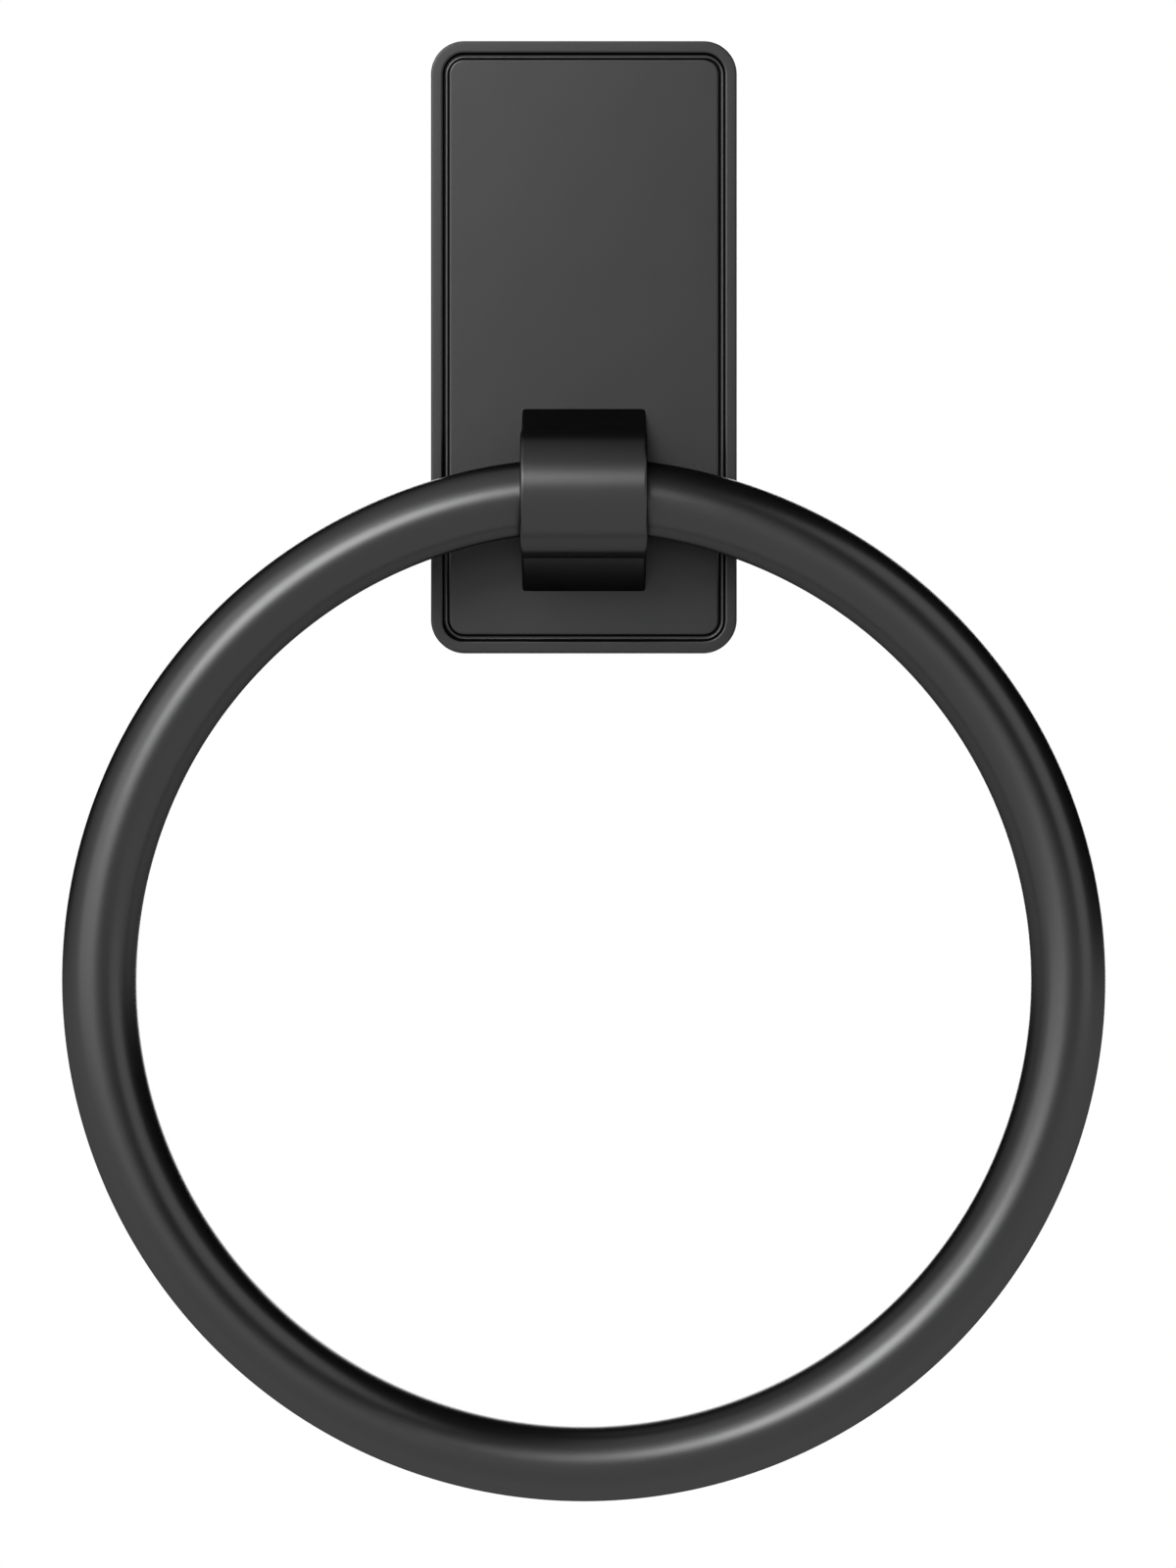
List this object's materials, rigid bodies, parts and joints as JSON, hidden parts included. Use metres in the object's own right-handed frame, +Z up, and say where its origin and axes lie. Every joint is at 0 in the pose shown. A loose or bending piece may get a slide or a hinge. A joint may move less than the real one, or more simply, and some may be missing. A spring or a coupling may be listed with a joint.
{
  "type": "towel ring",
  "caption": "Stick-on wall towel ring: a tall plate with rounded corners carries a short bracket whose cross bore holds a large swinging tube ring.",
  "frame": {"origin": "centre of the pad's face that meets the wall, level with the middle of the plate", "axes": "+Y into the wall, so the front faces -Y; +Z up; +X to the viewer's right"},
  "size_m": [0.1686, 0.0369, 0.2393],
  "materials": {
    "foam_pad": "matte",
    "plate_coat": "satin powder coat",
    "bracket_coat": "satin powder coat",
    "zinc_screw": "bright zinc",
    "ring_coat": "satin powder coat"
  },
  "bodies": {
    "wall_mount": {"adhesive_pad": "foam_pad", "plate": "plate_coat", "bracket": "bracket_coat", "bracket_screws": "zinc_screw"},
    "ring": {"ring": "ring_coat"}
  },
  "joints": [
    {"name": "ring_swing", "type": "hinge", "parent": "wall_mount", "child": "ring", "pos_m": [0, -0.0269, -0.02545], "axis": [-1, 0, 0], "range_deg": [-7, 187]}
  ]
}
